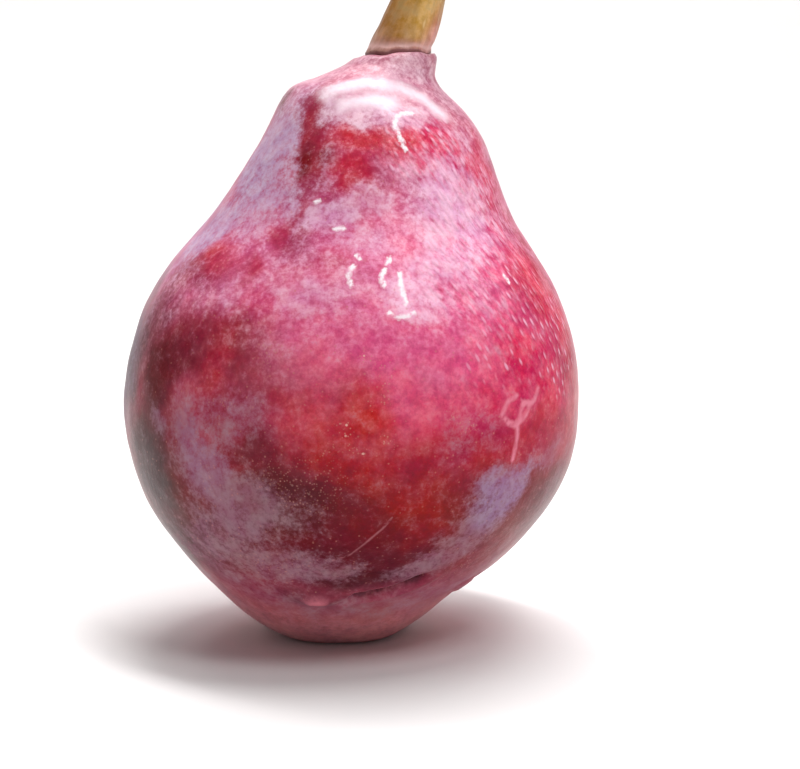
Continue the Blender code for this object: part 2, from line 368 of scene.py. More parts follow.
# %% Dust: thinner bloom low on the fruit, and skin that has been rubbed clean
dust = patches([
    (-42, 37, 3.4, 5.0, 10, 1.0), (-36, 31, 5.0, 7.0, 25, 1.0), (-28, 25, 6.5, 6.0, 20, 1.0),
    (-52, 38.5, 1.8, 3.5, 35, 0.85), (-40, 20, 6.0, 5.0, 0, 0.85), (-10, 15.8, 6.5, 2.8, 0, 0.9),
    (-24, 16.5, 8.0, 4.0, 0, 0.9), (-46, 15, 8.0, 4.0, -20, 0.7), (-28, 40, 7, 4, 0, 0.6),
    (-12, 24, 5, 4, 0, 0.35), (43, 27.5, 7.0, 4.0, 40, 1.0), (35, 22, 6.5, 3.8, 38, 1.0),
    (29, 17.0, 7.0, 3.0, 30, 0.95), (56, 32, 4, 2, 42, 0.6), (68, 30, 5.0, 3.0, 40, 0.4),
    (-78, 44, 6.0, 12.0, 0, 0.7), (30, 38, 6.0, 4.0, 0, 0.4), (0, 8, 20.0, 3.5, 0, 0.6),
    (40, 9, 10.0, 3.5, 15, 0.65), (150, 33, 11.0, 6.0, -25, 0.9), (225, 25, 9.0, 7.0, 30, 0.85),
    (100, 18, 9.0, 4.0, 0, 0.7), (180, 7, 20.0, 4.0, 0, 0.6), (-100, 8, 14.0, 4.0, 0, 0.6),
])
clean = patches([
    (5, 80, 5.0, 2.4, 0, 0.85), (3, 75, 3.0, 2.8, 0, 0.85), (-20.5, 79, 2.0, 9.0, 6, 0.9),
    (-24, 65.5, 1.8, 2.8, 20, 0.9), (-31, 61, 2, 2, 0, 0.8), (-45, 62, 5, 3.2, 0, 0.8),
    (-44, 49, 10, 5, 0, 0.85), (62, 55, 9, 10, 0, 0.7), (2, 40, 8, 5, 0, 0.8),
    (-27, 36.3, 1.6, 1.8, 0, 0.9), (-28, 33.8, 1.2, 1.4, 0, 0.8), (-16, 35, 3, 2, 0, 0.6),
    (24, 80, 5, 2, 0, 0.6), (18, 28, 6, 7, 0, 0.6),
])
bloom *= 1 - clean
dust *= 1 - 0.7 * clean
print("share of the skin under bloom:", round(float((np.maximum(bloom, dust) > 0.5).mean()), 2))

# %% Pimples: the sunny side's skin is rougher
pimpled = patches([
    (42, 78, 8, 7, 0, 1.0), (50, 68, 9, 12, 0, 1.0), (54, 52, 12, 10, 0, 1.0), (34, 60, 8, 8, 0, 0.7),
    (34, 48, 6, 5, 0, 0.5), (140, 62, 10, 12, 0, 0.8),
])
print("share of the skin that is pimpled:", round(float((pimpled > 0.5).mean()), 2))

# %% Dew: pale specks and painted glints of tiny droplets, in a loose curve down the front and over the dark cheek
specks_and_glints = patches([
    (5, 49.2, 2.4, 0.9, -15, 0.9), (11, 47.0, 2.0, 1.2, -30, 1.0), (11.5, 44.0, 1.0, 2.2, 0, 0.9),
    (9, 42.6, 1.8, 0.9, 0, 0.9), (9.4, 38.0, 1.6, 1.4, 30, 1.0), (-0.5, 38.2, 1.4, 1.6, -30, 1.0),
    (1, 34.9, 4.0, 0.8, 0, 0.9), (28, 39.8, 3.6, 1.6, 0, 0.6), (-4, 44, 3, 3, 0, 0.4),
    (-10, 30, 10, 7, 0, 0.52), (-16, 50, 5, 2, 0, 0.6), (-33, 41.5, 4, 1.2, 0, 0.5),
    (-36, 30, 1.2, 7, 10, 0.5), (-20, 17, 9, 3, 0, 0.5), (40, 14.5, 5, 1.4, 30, 0.6),
    (-2, 62, 8, 4, 0, 0.3), (150, 30, 10, 8, 0, 0.5), (-120, 34, 10, 8, 0, 0.5),
])
print("share of the skin with dew:", round(float((specks_and_glints > 0.5).mean()), 2))

# %% [markdown]
# ## Creases, knobs and scars
#
# Where the flesh swelled unevenly near the calyx, the skin has folded into a crease with a small knob at
# its end. Twigs and leaves rubbing the young fruit leave corky scars. Each is drawn as a path on the skin.
# The distance from every point of the skin to the path then shapes the groove or the ridge, and is kept for
# the material.

# %% Distance to a path
def path_distance(places):
    """How far each point of the skin is, in millimetres, from a path through turns and heights."""
    nodes = [skin[spot(*place)] for place in places]
    nearest = np.full(skin.shape[:2], np.inf)
    for start, end in zip(nodes, nodes[1:]):
        run = end - start
        share = np.clip((skin - start) @ run / max(run @ run, 0.001), 0, 1)
        nearest = np.minimum(nearest, np.linalg.norm(skin - start - share[:, :, None] * run, axis=2))
    return nearest


def swell(distance, width):
    """A smooth hump of that half width, 1 in the middle."""
    return np.exp(-((distance / width) ** 2))


# The crease runs out at both ends: the distance is made greater there, so that less of it is within reach.
crease_path = [(-3, 10.0), (3, 10.6), (8, 11.3), (15, 11.8), (22, 13.0), (28, 15.0)]
CREASE_TAPER = 2.8
crease_end = np.minimum(path_distance(crease_path[:1] * 2), path_distance(crease_path[-1:] * 2))
crease = path_distance(crease_path) + 1.1 * np.clip(1 - crease_end / CREASE_TAPER, 0, 1)
knob = path_distance([(-14.2, 10.9), (-11.6, 10.9)])
scratch = path_distance([(-5, 18.0), (0, 19.1), (6, 21.4), (9, 23.6), (11, 25.4)])
fold = path_distance([(57, 9.6), (62, 10.4), (68, 8.4)])
scar_paths = [
    [(43, 32.8), (44, 35.5), (44, 38.0), (45.5, 40.6), (49, 41.2), (51.5, 42.8)],
    [(44, 38.0), (41, 38.6), (39, 39.8), (40.5, 41.4), (43.5, 42.2)],
    [(44.5, 38.4), (46.5, 39.0), (48, 40.8)],
]
scar = np.min([path_distance(path) for path in scar_paths], axis=0)
print("points within 1 mm of the crease:", int((crease < 1).sum()))

# %% Painted highlights: short streaks where thin films of water on the wax catch the light
wet_glint_paths = [
    [(35, 83.6), (30, 83.6), (25.5, 83.0), (23, 81.3), (24, 79.8), (25.5, 78.0)],
    [(2.6, 63.2), (3.2, 62.4)],
    [(1.4, 61.4), (0.6, 60.4), (0.8, 59.2)],
    [(12.5, 62.8), (11.4, 62.2)],
    [(10.4, 61.0), (9.6, 60.0), (10.6, 59.0)],
    [(15.2, 60.4), (14.6, 58.4), (15.2, 56.2)],
    [(11, 55.2), (12.8, 54.3), (15, 54.4), (17.4, 54.9)],
    [(-4.5, 66.7), (-1.5, 66.6)],
    [(-13.2, 70.8), (-12.6, 70.6)],
    [(51, 59.6), (51.4, 58.2)],
]
wet_glint = np.min([path_distance(path) for path in wet_glint_paths], axis=0)
# A broad painted highlight along the shoulder.
shoulder_sheen_paths = [
    [(-19, 86.6), (-8, 87.4), (2, 87.6), (20, 88.1), (38, 87.2), (49, 85.8), (55, 83.8)],
    [(-4, 85.2), (10, 85.6), (24, 85.2)],
]
shoulder_sheen = np.min([path_distance(path) for path in shoulder_sheen_paths], axis=0)
print("points within 1 mm of a water mark:", int((wet_glint < 1).sum()))

# %% Push the skin out and in
def hills(size, seed):
    """How high the random hills of that size stand at each point."""
    return rolling(size, seed)[:, :, 2]


below_rim = np.clip((92.0 - height) / 3.0, 0, 1)
settled = np.clip(height / 9.0, 0, 1) * below_rim * outside
collar = np.clip((height - 86.5) / 3.0, 0, 1) * below_rim
push = settled * (0.40 * hills(19.0, 1) + 0.16 * hills(7.5, 2) + 0.05 * hills(2.6, 3) - 0.38)
push += collar * (0.20 * hills(2.2, 4) - 0.10)
push += settled * (0.35 * swell(crease - 1.8, 1.1) - 1.2 * swell(crease, 0.95))
push += 1.35 * swell(knob, 1.9) + 0.09 * swell(scar, 0.6) - 0.06 * swell(scratch, 0.5)
push += 0.30 * swell(fold, 0.8) - 0.25 * swell(fold - 1.6, 0.6)
push += 0.08 * swell(wet_glint, 0.5)
push -= 0.42 * np.clip((height - 91.5) / 0.9, 0, 1) ** 2 * outside
skin = skin + push[:, :, None] * facing


def seam_wave(degrees):
    """How far the seam between flesh and stem rises and falls round the stem, in millimetres."""
    angle = np.radians(degrees)
    return 0.22 * np.sin(2 * angle + 1.1) + 0.12 * np.sin(5 * angle) + 0.07 * np.sin(9 * angle + 2.0)


middle = skin[-1].mean(axis=0)
round_stem = np.degrees(np.arctan2(skin[:, :, 0] - middle[0], middle[1] - skin[:, :, 1]))
skin[:, :, 2] += seam_wave(round_stem) * np.clip((height - 90.0) / 2.4, 0, 1) * outside
skin[:, :, 2] = np.maximum(skin[:, :, 2], 0.0)
print("the skin is pushed by, in mm:", round(push.min(), 2), "to", round(push.max(), 2))

# %% [markdown]
# ## The fruit's piece
#
# The rows of points become one closed mesh of quads, with a fan over each end. The paint and the distances
# are stored on its corners as attributes, where the material can read them.

# %% Make the fruit's mesh
def grid_piece(name, rows):
    """A closed, smooth-shaded body from rows of points in millimetres, with a fan over each end."""
    count, columns = rows.shape[:2]
    points = np.concatenate([rows.reshape(-1, 3), [rows[0].mean(axis=0), rows[-1].mean(axis=0)]]) * MM
    first, last = count * columns, count * columns + 1
    here = np.arange(columns)
    beside = (here + 1) % columns
    faces = []
    for row in range(count - 1):
        low, high = row * columns, (row + 1) * columns
        faces += np.stack([low + here, low + beside, high + beside, high + here], axis=1).tolist()
    faces += np.stack([beside, here, np.full(columns, first)], axis=1).tolist()
    high = (count - 1) * columns
    faces += np.stack([high + here, high + beside, np.full(columns, last)], axis=1).tolist()
    data = bpy.data.meshes.new(name)
    data.from_pydata(points.tolist(), [], faces)
    data.shade_smooth()
    made = bpy.data.objects.new(name, data)
    bpy.context.scene.collection.objects.link(made)
    return made


def keep_field(piece, name, field):
    """Stores one number or one colour for each point of a grid piece, for its material to read."""
    columns = field.shape[1]
    flat = field.reshape(len(field) * columns, -1)
    flat = np.concatenate([flat, [flat[:columns].mean(axis=0), flat[-columns:].mean(axis=0)]])
    if flat.shape[1] == 1:
        layer = piece.data.attributes.new(name, "FLOAT", "POINT")
        layer.data.foreach_set("value", flat[:, 0].astype(np.float32))
    else:
        layer = piece.data.attributes.new(name, "FLOAT_COLOR", "POINT")
        layer.data.foreach_set("color", np.insert(flat, 3, 1.0, axis=1).astype(np.float32).ravel())


fruit = grid_piece("fruit_skin", skin)
kept = {
    "pigment_and_shading": pigment_and_shading, "bloom_tone_and_shading": bloom_tone_and_shading, "bloom": bloom, "dust": dust, "pimpled": pimpled,
    "crease": crease, "knob": knob, "scratch": scratch, "scar": scar, "wet_glint": wet_glint, "shoulder_sheen": shoulder_sheen,
    "specks_and_glints": specks_and_glints,
}
for name, field in kept.items():
    keep_field(fruit, name, field)
print("triangles in the fruit's skin:", sum(len(face.vertices) - 2 for face in fruit.data.polygons))

# %% [markdown]
# ## Building materials from nodes
#
# A material is a tree of nodes, each feeding the next. One helper is enough for all of them: it adds a
# node, sets it up and returns one of its outputs. Four settings come up again and again, so they have
# names. TIMES multiplies two numbers, TIMES_PLUS multiplies two and adds a third, SMOOTH stretches one
# range onto another with soft ends, and OVER lays one colour over another.

# %% The node helper
def add(tree, kind, inputs, output=0, **settings):
    """Adds a node, and returns one of its outputs.

    Inputs are numbers, colours or other nodes' outputs, by name or in order. Settings are its properties.
    """
    node = tree.nodes.new("ShaderNode" + kind)
    for name, value in settings.items():
        setattr(node, name, value)
    for name, value in inputs.items() if isinstance(inputs, dict) else enumerate(inputs):
        if isinstance(value, bpy.types.NodeSocket):
            tree.links.new(value, node.inputs[name])
        else:
            node.inputs[name].default_value = value
    return node.outputs[output]


def new_material(name):
    """An empty material with its Principled shader."""
    made = bpy.data.materials.new(name)
    made.use_nodes = True
    return made, made.node_tree, made.node_tree.nodes["Principled BSDF"]


PER_MM = 1 / MM
TIMES = {"operation": "MULTIPLY"}
TIMES_PLUS = {"operation": "MULTIPLY_ADD"}
SMOOTH = {"interpolation_type": "SMOOTHSTEP"}
OVER = {"data_type": "RGBA"}
# A Mix node has one pair of sockets for numbers and another for colours. These are their places.
SHARE, NUMBER_BELOW, NUMBER_ABOVE, BELOW, ABOVE, MIXED = 0, 2, 3, 6, 7, 2
print("a pattern of 1 mm has the scale", PER_MM)

# %% [markdown]
# ## Pear skin
#
# A red pear's skin is a thin, waxy cuticle over cells full of red pigment. Light goes a little way in, so
# the colour looks deep, and the wax gives a soft, broad gloss. Wax has an IOR of about 1.45. The skin's is
# set a little lower, at 1.40, because it is moist. The bloom is a dust of wax crystals: it scatters light,
# so it looks pale, lilac where it lies over dark red, and it hides the gloss. Crystals are far too small to
# draw, so the finest noise is 0.8 mm, as coarse as it needs to be to show.

# %% The skin's noise patterns: clouds of 7 mm, mottles of 2.6 mm, and dust of 0.8 mm
skin_material, tree, skin_shader = new_material("waxy_pear_skin")
place = add(tree, "TexCoord", {}, "Object")
cloudy = add(tree, "TexNoise", {"Vector": place, "Scale": PER_MM / 7.0, "Detail": 8.0, "Roughness": 0.66})
mottled = add(tree, "TexNoise", {"Vector": place, "Scale": PER_MM / 2.6, "Detail": 5.0, "Roughness": 0.65})
dusty = add(tree, "TexNoise", {"Vector": place, "Scale": PER_MM / 0.8, "Detail": 3.0, "Roughness": 0.7})
PIMPLE_SLANT = (0.0, math.radians(-32), 0.0)
slanted = add(tree, "Mapping", {
    "Vector": place, "Rotation": PIMPLE_SLANT, "Scale": (1.0, 1.0, 2.6)}, vector_type="TEXTURE")
streaked = add(tree, "TexNoise", {"Vector": slanted, "Scale": PER_MM / 0.8, "Detail": 3.0, "Roughness": 0.6})

COLOURS = ("pigment_and_shading", "bloom_tone_and_shading")
fields = {}
for name in kept:
    fields[name] = add(tree, "Attribute", {}, "Color" if name in COLOURS else "Fac", attribute_name=name)
print("fields that the skin reads:", len(fields))

# %% Pigment and painted shading: each cell holds a little more or less of it
hue = add(tree, "MapRange", [cloudy, 0.3, 0.7, 0.492, 0.506], **SMOOTH)
richness = add(tree, "MapRange", [mottled, 0.3, 0.7, 1.06, 0.96], **SMOOTH)
wide_shade = add(tree, "MapRange", [cloudy, 0.32, 0.68, 0.88, 1.12], **SMOOTH)
small_shade = add(tree, "MapRange", [mottled, 0.3, 0.7, 0.88, 1.12], **SMOOTH)
shade = add(tree, "Math", [wide_shade, small_shade], **TIMES)
lively = add(tree, "HueSaturation", {
    "Hue": hue, "Saturation": richness, "Value": shade, "Color": fields["pigment_and_shading"]})
finest_shade = add(tree, "MapRange", [dusty, 0.32, 0.68, 0.89, 1.12], **SMOOTH)
colour = add(tree, "HueSaturation", {"Value": finest_shade, "Color": lively})
print("nodes for the pigment:", len(tree.nodes))

# %% Bloom: grains of wax that thin out raggedly, and lie in slanting rows between pimples
clouds = add(tree, "Math", [cloudy, 0.20], **TIMES)
mottles = add(tree, "Math", [mottled, 0.35, clouds], **TIMES_PLUS)
powder = add(tree, "Math", [dusty, 0.45, mottles], **TIMES_PLUS)
mottles = add(tree, "Math", [mottled, 0.38], **TIMES)
ridged = add(tree, "Math", [streaked, 0.62, mottles], **TIMES_PLUS)
pattern = add(tree, "Mix", {SHARE: fields["pimpled"], NUMBER_BELOW: powder, NUMBER_ABOVE: ridged})
shares = []
for grains, field, low, high, most in [
    (pattern, "bloom", 1.75, 2.80, 0.82), (powder, "dust", 1.70, 2.75, 0.74),
]:
    heaped = add(tree, "Math", [grains, 3.4, fields[field]], **TIMES_PLUS)
    shares.append(add(tree, "MapRange", [heaped, low, high, 0.0, most], **SMOOTH))
thickest = add(tree, "Math", shares, operation="MAXIMUM")
gaps = add(tree, "MapRange", [dusty, 0.30, 0.62, 0.74, 1.0], **SMOOTH)
wax_share = add(tree, "Math", [thickest, gaps], **TIMES)
print("nodes up to the bloom's share:", len(tree.nodes))

# %% Bloom: its colour drifts between pink and lilac
hue = add(tree, "MapRange", [cloudy, 0.35, 0.65, 0.486, 0.514], **SMOOTH)
richness = add(tree, "MapRange", [mottled, 0.3, 0.7, 1.25, 0.8], **SMOOTH)
shade = add(tree, "MapRange", [mottled, 0.3, 0.7, 0.90, 1.08], **SMOOTH)
wax = add(tree, "HueSaturation", {
    "Hue": hue, "Saturation": richness, "Value": shade, "Color": fields["bloom_tone_and_shading"]})
colour = add(tree, "Mix", {SHARE: wax_share, BELOW: colour, ABOVE: wax}, MIXED, **OVER)
print("nodes up to the bloom:", len(tree.nodes))

# %% [markdown]
# ### Lenticels, dew and pimples
#
# Lenticels are the pores that the fruit breathes through: pale dots of 0.2 to 0.4 mm, most of a millimetre
# apart. Dewdrops are as small, and the glint where a larger one catches the light is a painted highlight.
# Pimples are swollen pores on the sunny side, and each has a pale glint, also a painted highlight. All are
# dots in the cells of a Voronoi pattern, whose scale is their spacing. Each cell also has a random number,
# which decides whether its dot shows.

# %% Lenticels, here and there
pores = add(tree, "TexVoronoi", {"Vector": place, "Scale": PER_MM / 0.85})
lot = add(tree, "SeparateColor", {"Color": pores.node.outputs["Color"]})
dot = add(tree, "MapRange", [pores, 0.10, 0.24, 0.40, 0.0], **SMOOTH)
chance = add(tree, "MapRange", [lot, 0.40, 0.95, 0.0, 1.0], **SMOOTH)
share = add(tree, "Math", [dot, chance], **TIMES)
colour = add(tree, "Mix", {SHARE: share, BELOW: colour, ABOVE: linear("#cc8478")}, MIXED, **OVER)
print("nodes up to the lenticels:", len(tree.nodes))

# %% Dew: a fine mist of pale specks, and a few larger drops whose glints are painted highlight
mist = add(tree, "TexVoronoi", {"Vector": place, "Scale": PER_MM / 0.5})
dot = add(tree, "MapRange", [mist, 0.14, 0.34, 0.6, 0.0], **SMOOTH)
damp = add(tree, "Math", [dusty, 0.8, fields["specks_and_glints"]], **TIMES_PLUS)
chance = add(tree, "MapRange", [damp, 0.6, 1.2, 0.0, 1.0], **SMOOTH)
share = add(tree, "Math", [dot, chance], **TIMES)
colour = add(tree, "Mix", {SHARE: share, BELOW: colour, ABOVE: linear("#cc8c7e")}, MIXED, **OVER)

glint_cells = add(tree, "TexVoronoi", {"Vector": place, "Scale": PER_MM / 0.8})
lot = add(tree, "SeparateColor", {"Color": glint_cells.node.outputs["Color"]})
dot = add(tree, "MapRange", [glint_cells, 0.14, 0.30, 1.0, 0.0], **SMOOTH)
damp = add(tree, "Math", [lot, 0.75, fields["specks_and_glints"]], **TIMES_PLUS)
chance = add(tree, "MapRange", [damp, 1.15, 1.55, 0.0, 0.9], **SMOOTH)
share = add(tree, "Math", [dot, chance], **TIMES)
colour = add(tree, "Mix", {SHARE: share, BELOW: colour, ABOVE: linear("#f0beb0")}, MIXED, **OVER)
print("nodes up to the dew:", len(tree.nodes))

# %% Pimples: a pale glint on each, as painted highlight
pimples = add(tree, "TexVoronoi", {"Vector": slanted, "Scale": PER_MM / 0.95, "Randomness": 0.8})
lot = add(tree, "SeparateColor", {"Color": pimples.node.outputs["Color"]})
dot = add(tree, "MapRange", [pimples, 0.12, 0.38, 0.85, 0.0], **SMOOTH)
sunny = add(tree, "MapRange", [fields["pimpled"], 0.1, 0.8, 0.0, 1.0], **SMOOTH)
chance = add(tree, "MapRange", [lot, 0.15, 0.75, 0.15, 1.0], **SMOOTH)
share = add(tree, "Math", [dot, sunny], **TIMES)
share = add(tree, "Math", [share, chance], **TIMES)
colour = add(tree, "Mix", {SHARE: share, BELOW: colour, ABOVE: linear("#f4b6d0")}, MIXED, **OVER)
print("nodes up to the pimples:", len(tree.nodes))

# %% Marks along paths: full on the path and gone about a width away, with edges that waver
for name, above, width, strength in [
    ("scar", "#e8849a", 0.70, 0.95), ("scratch", "#b8727a", 0.3, 0.6),
    # The crease's near black is painted shade inside the fold.
    ("crease", "#2c0a14", 1.15, 0.97), ("knob", "#e68494", 1.9, 0.92),
]:
    distance = add(tree, "Math", [mottled, 1.6 * width, fields[name]], **TIMES_PLUS)
    share = add(tree, "MapRange", [distance, 0.8 * width, 1.8 * width, strength, 0.0], **SMOOTH)
    colour = add(tree, "Mix", {SHARE: share, BELOW: colour, ABOVE: linear(above)}, MIXED, **OVER)
print("nodes up to the marks:", len(tree.nodes))

# %% Painted highlights on the wax: a broad band on the shoulder, then the narrow streaks of the wet films
for name, above, grain, low, high, strength in [
    ("shoulder_sheen", "#fbe8f2", 2.4, 1.1, 3.6, 0.85), ("wet_glint", "#fdf0f6", 1.5, 0.80, 1.35, 0.95),
]:
    distance = add(tree, "Math", [dusty, grain, fields[name]], **TIMES_PLUS)
    highlight_share = add(tree, "MapRange", [distance, low, high, strength, 0.0], **SMOOTH)
    colour = add(tree, "Mix", {SHARE: highlight_share, BELOW: colour, ABOVE: linear(above)}, MIXED, **OVER)
glint_share = highlight_share
print("nodes up to the films:", len(tree.nodes))

# %% Gloss: satin on bare skin, duller under bloom, and glossy under the painted streaks of the wet films
bare_gloss = add(tree, "MapRange", [wax_share, 0.1, 0.6, 0.30, 0.52], **SMOOTH)
wet_gloss = add(tree, "MapRange", [glint_share, 0.0, 0.8, 1.0, 0.4], **SMOOTH)
roughness = add(tree, "Math", [bare_gloss, wet_gloss], **TIMES)

domed = add(tree, "MapRange", [pimples, 0.0, 0.7, 1.0, 0.0], **SMOOTH)
pimple_height = add(tree, "Math", [domed, fields["pimpled"]], **TIMES)
relief = add(tree, "Bump", {"Strength": 0.8, "Distance": 0.25 * MM, "Height": pimple_height})
for pattern, depth in [(mottled, 0.18), (dusty, 0.07)]:
    relief = add(tree, "Bump", {"Strength": 0.5, "Distance": depth * MM, "Height": pattern, "Normal": relief})
print("nodes in the skin's material:", len(tree.nodes))

# %% The skin's shader, and its piece
tree.links.new(colour, skin_shader.inputs["Base Color"])
tree.links.new(roughness, skin_shader.inputs["Roughness"])
tree.links.new(relief, skin_shader.inputs["Normal"])
skin_shader.inputs["IOR"].default_value = 1.40
skin_shader.inputs["Specular IOR Level"].default_value = 0.18
skin_shader.inputs["Coat Weight"].default_value = 0.09
skin_shader.inputs["Coat Roughness"].default_value = 0.18
fruit.data.materials.append(skin_material)
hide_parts("fruit")
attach(fruit, "root")
print("the fruit's piece:", fruit.name, "with", skin_material.name)

# %% [markdown]
# ## The stem
#
# The stem is young wood under thin bark: fleshy and pink where it grows out of the collar, golden above,
# and ending in a flared scar where it broke from the spur. Its rings are read back in the same way as the
# fruit's. The wood's fibres run along it, so its small ridges are noise that has been stretched lengthways.

# %% Shape the stem
STEM_SIDES = 20
stem_rings = rings_of("stem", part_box("stem")[0].z, STEM_SIDES)
STEM_STEP = 0.2
STEM_COLUMNS = 128
rows = around(along(stem_rings, STEM_STEP), STEM_COLUMNS)
spine = rows.mean(axis=1, keepdims=True)
rise = np.broadcast_to(spine[:, :, 2] - spine[0, 0, 2], rows.shape[:2])
side = np.degrees(np.arctan2(rows[:, :, 0] - spine[:, :, 0], spine[:, :, 1] - rows[:, :, 1]))
print("the stem's rows and columns:", rows.shape[:2], "and its rise, in mm:", round(float(rise.max()), 1))


def fibres(size, stretch, seed):
    """Random ridges of about that size in millimetres, stretched along the stem, from -1 to 1."""
    offset = (rows - spine) / size
    offset[:, :, 2] = rise / (size * stretch) + seed * 9.7
    return np.array([noise.noise(Vector(point)) for point in offset.reshape(-1, 3)]).reshape(rise.shape)


STEM_TOP = float(rise.max())
ends = np.clip(rise / 0.8, 0, 1) * np.clip((STEM_TOP - rise) / 0.6, 0, 1)
fleshy = np.clip(1 - rise / 7.0, 0, 1)
grown = ends * (0.11 * fibres(1.3, 6.0, 1) + 0.05 * fibres(0.6, 8.0, 2) - 0.14)
grown += ends * fleshy * (0.26 * fibres(2.6, 1.0, 3) - 0.16)
outward = normals_of(rows)
rows = rows + grown[:, :, None] * outward
drawn_in = 1 - 0.10 * np.clip(1 - rise / 2.2, 0, 1)[:, :, None] ** 2
rows = spine + (rows - spine) * np.where(np.arange(3) < 2, drawn_in, 1.0)
rows[:, :, 2] += seam_wave(side) * np.clip(1 - rise / 2.5, 0, 1)
print("the bark moves by, in mm:", round(float(grown.min()), 2), "to", round(float(grown.max()), 2))

# %% Round off its foot, and hollow the scar at its top
def shrunk(ring, scale, lift):
    """A ring drawn in towards its middle, and moved along the stem."""
    middle = ring.mean(axis=0)
    along_stem = np.cross(ring[STEM_COLUMNS // 4] - middle, ring[STEM_COLUMNS // 2] - middle)
    along_stem /= np.linalg.norm(along_stem)
    along_stem *= np.sign(along_stem[2])
    return middle + scale * (ring - middle) + lift * along_stem


FOOT = [(0.97, -0.9), (0.985, -0.5), (0.995, -0.2)]
SCAR = [(0.95, -0.03), (0.86, -0.12), (0.6, -0.5), (0.3, -0.55)]
foot_rows = [shrunk(rows[0], scale, lift) for scale, lift in FOOT]
scar_rows = [shrunk(rows[-1], scale, lift) for scale, lift in SCAR]
rows = np.concatenate([foot_rows, rows, scar_rows])
rows[:, :, 2] = np.minimum(rows[:, :, 2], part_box("stem")[1].z / MM)


def with_ends(field, at_foot, at_top):
    """A field of the stem's body, carried on over the rows added at its foot and its scar."""
    foot = np.broadcast_to(at_foot, (len(FOOT), STEM_COLUMNS))
    scar = np.broadcast_to(at_top, (len(SCAR), STEM_COLUMNS))
    return np.concatenate([foot, field, scar])


cut = with_ends(np.zeros(rise.shape), 0.0, 1.0)
side = with_ends(side, side[0], side[-1])
rise = with_ends(rise, -0.3, STEM_TOP)
print("the stem's rows with its ends:", len(rows))

# %% Colour it: golden in the light and brown on the left, partly painted light and painted shade, and pink at the foot
def near(value, middle, reach):
    """1 where a value is at the middle, fading to about a third at that reach from it."""
    return np.exp(-(((value - middle) / reach) ** 2))


bark_colour_and_shading = by_height(rise, [
    (0, "#b8807c"), (1.2, "#bc8474"), (2.2, "#b2803e"), (5, "#b68640"), (9, "#b88a40"), (15, "#b68838"),
    (21, "#9a7436"), (25, "#7c5c38"),
])
for tone, share in [
    # Brown on the left: partly painted shade.
    ("#8e5a24", 0.8 * near(side, -75, 55) * np.clip(rise / 3, 0, 1)),
    ("#6e5a30", 0.7 * near(side, 175, 70) * np.clip(rise / 6, 0, 1)),
    # Gold on the lit side: partly painted light.
    ("#dcb268", 0.75 * near(side, 28, 26) * np.clip(rise / 5, 0, 1)),
    ("#d88e88", 0.85 * near(side, 66, 28) * near(rise, 3.0, 3.8)),
    ("#a87868", 0.8 * near(side, -60, 50) * near(rise, 0.0, 2.5)),
]:
    bark_colour_and_shading = covered(bark_colour_and_shading, tone, share)
print("the bark's mean colour, linear:", bark_colour_and_shading.mean(axis=(0, 1)).round(3))

# %% The stem's piece
stem = grid_piece("stem_bark", rows)
for name, field in {"bark_colour_and_shading": bark_colour_and_shading, "rise": rise, "cut": cut}.items():
    keep_field(stem, name, field)
print("triangles in the stem:", sum(len(face.vertices) - 2 for face in stem.data.polygons))

# %% [markdown]
# ## Bark
#
# Young pear bark is smooth and slightly waxy, so its gloss is satin rather than dull. Long fibres show
# through it as streaks about half a millimetre wide, and corky pores as short pale dashes. The broken end
# is bare, dry wood: rough, greyer, and with no gloss. A thin dark line marks where the stem leaves the
# flesh.

# %% The bark's patterns: fibres of 1 mm drawn out to 6 mm, blotches of 2.4 mm, and specks of 0.5 mm
bark, tree, bark_shader = new_material("young_pear_bark")
place = add(tree, "TexCoord", {}, "Object")
STEM_LEAN = (0.0, math.radians(20), 0.0)
lengthways = add(tree, "Mapping", {
    "Vector": place, "Rotation": STEM_LEAN, "Scale": (1.0, 1.0, 6.0)}, vector_type="TEXTURE")
fibre = add(tree, "TexNoise", {
    "Vector": lengthways, "Scale": PER_MM / 1.0, "Detail": 5.0, "Roughness": 0.65})
blotches = add(tree, "TexNoise", {"Vector": place, "Scale": PER_MM / 2.4, "Detail": 5.0, "Roughness": 0.6})
specks = add(tree, "TexNoise", {"Vector": place, "Scale": PER_MM / 0.5, "Detail": 2.0, "Roughness": 0.6})
rise_field = add(tree, "Attribute", {}, "Fac", attribute_name="rise")
cut_field = add(tree, "Attribute", {}, "Fac", attribute_name="cut")
ground = add(tree, "Attribute", {}, "Color", attribute_name="bark_colour_and_shading")
print("nodes for the bark's patterns:", len(tree.nodes))

# %% Bark: streaks, green-gold blotches and corky pores
fibre_shade = add(tree, "MapRange", [fibre, 0.3, 0.7, 0.86, 1.12], **SMOOTH)
blotch_shade = add(tree, "MapRange", [blotches, 0.3, 0.7, 0.82, 1.16], **SMOOTH)
shade = add(tree, "Math", [fibre_shade, blotch_shade], **TIMES)
richness = add(tree, "MapRange", [blotches, 0.3, 0.7, 1.12, 0.86], **SMOOTH)
colour = add(tree, "HueSaturation", {"Value": shade, "Saturation": richness, "Color": ground})

patchy = add(tree, "MapRange", [blotches, 0.52, 0.68, 0.0, 0.35], **SMOOTH)
upper = add(tree, "MapRange", [rise_field, 3.0, 7.0, 0.0, 1.0], **SMOOTH)
share = add(tree, "Math", [patchy, upper], **TIMES)
colour = add(tree, "Mix", {SHARE: share, BELOW: colour, ABOVE: linear("#8a7a34")}, MIXED, **OVER)
corky = add(tree, "TexVoronoi", {"Vector": lengthways, "Scale": PER_MM / 1.9})
share = add(tree, "MapRange", [corky, 0.08, 0.16, 0.7, 0.0], **SMOOTH)
colour = add(tree, "Mix", {SHARE: share, BELOW: colour, ABOVE: linear("#e6c892")}, MIXED, **OVER)
print("nodes up to the bark's pores:", len(tree.nodes))

